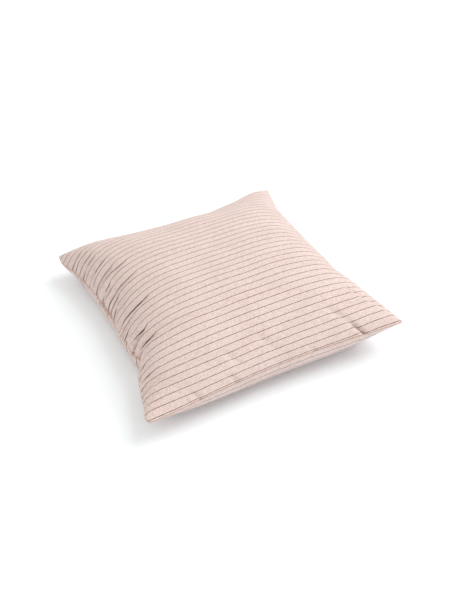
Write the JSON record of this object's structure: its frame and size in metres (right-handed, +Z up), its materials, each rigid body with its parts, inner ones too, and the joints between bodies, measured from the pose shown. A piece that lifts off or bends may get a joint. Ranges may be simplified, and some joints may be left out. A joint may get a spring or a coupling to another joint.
{
  "type": "filled cushion in a pinstriped cover",
  "caption": "Soft rectangular cushion: a filled cloth cover with a raised crown, drawn-in knife-edge seams, lifted corners and side gathers, lying flat on its back.",
  "frame": {"origin": "on the surface that the cushion lies on, under the middle of its plan", "axes": "+X along the stripes towards the right seam, +Y across the stripes towards the back seam, +Z up through the crown"},
  "size_m": [0.5022, 0.5948, 0.1328],
  "materials": {
    "pinstripe_cotton": "matte plain-weave cotton, pale pink with fine dark plum pinstripes"
  },
  "bodies": {
    "root": {"cushion": "pinstripe_cotton"}
  },
  "joints": []
}
